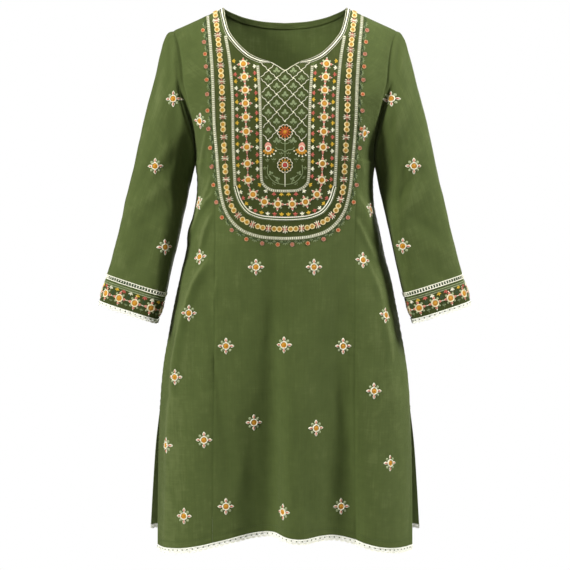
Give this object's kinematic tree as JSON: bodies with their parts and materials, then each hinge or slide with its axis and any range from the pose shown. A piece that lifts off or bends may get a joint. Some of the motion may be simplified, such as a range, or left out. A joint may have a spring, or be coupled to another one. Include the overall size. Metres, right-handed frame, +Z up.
{
  "type": "kurta tunic",
  "caption": "Long flared tunic with a scooped notched neck, princess seams, three-quarter sleeves and side slits, filled out as worn and empty.",
  "frame": {"origin": "between the neck ends of the two shoulder seams, where a wearer's shoulders hold the garment", "axes": "+Z up along the garment from hem to neck, +X to the wearer's left, and the front faces -Y"},
  "size_m": [0.661, 0.2612, 0.9549],
  "materials": {
    "cotton": "plain woven olive cotton, matt with a soft sheen",
    "trim": "cream embroidery thread, satin",
    "lace": "cream cotton crochet lace, matt"
  },
  "bodies": {
    "root": {"front_centre": "cotton", "front_side_left": "cotton", "front_side_right": "cotton", "back": "cotton", "sleeve_left": "cotton", "sleeve_right": "cotton", "back_neck_facing": "cotton", "neck_band_left": "trim", "neck_band_right": "trim", "cuff_braid_left": "trim", "cuff_braid_right": "trim", "cuff_lace_left": "lace", "cuff_lace_right": "lace", "hem_lace_front": "lace", "hem_lace_back": "lace"}
  },
  "joints": []
}
